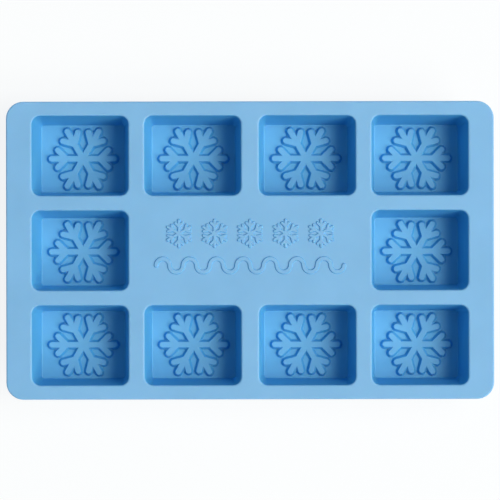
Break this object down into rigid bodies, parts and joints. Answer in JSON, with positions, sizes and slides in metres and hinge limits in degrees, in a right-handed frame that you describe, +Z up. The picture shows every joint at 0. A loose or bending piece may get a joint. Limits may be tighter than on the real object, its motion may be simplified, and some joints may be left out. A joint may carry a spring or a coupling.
{
  "type": "ice cube tray",
  "caption": "Flat rectangular silicone ice cube tray with tapered block-shaped wells round a plain centre panel and a raised snowflake on each well's floor.",
  "frame": {"origin": "middle of the tray, on the surface that its cups stand on", "axes": "+X along the tray, +Y towards its back row, +Z up out of the wells"},
  "size_m": [0.2, 0.1222, 0.0225],
  "materials": {
    "silicone": "soft satin moulded silicone"
  },
  "bodies": {
    "root": {"tray": "silicone"}
  },
  "joints": []
}
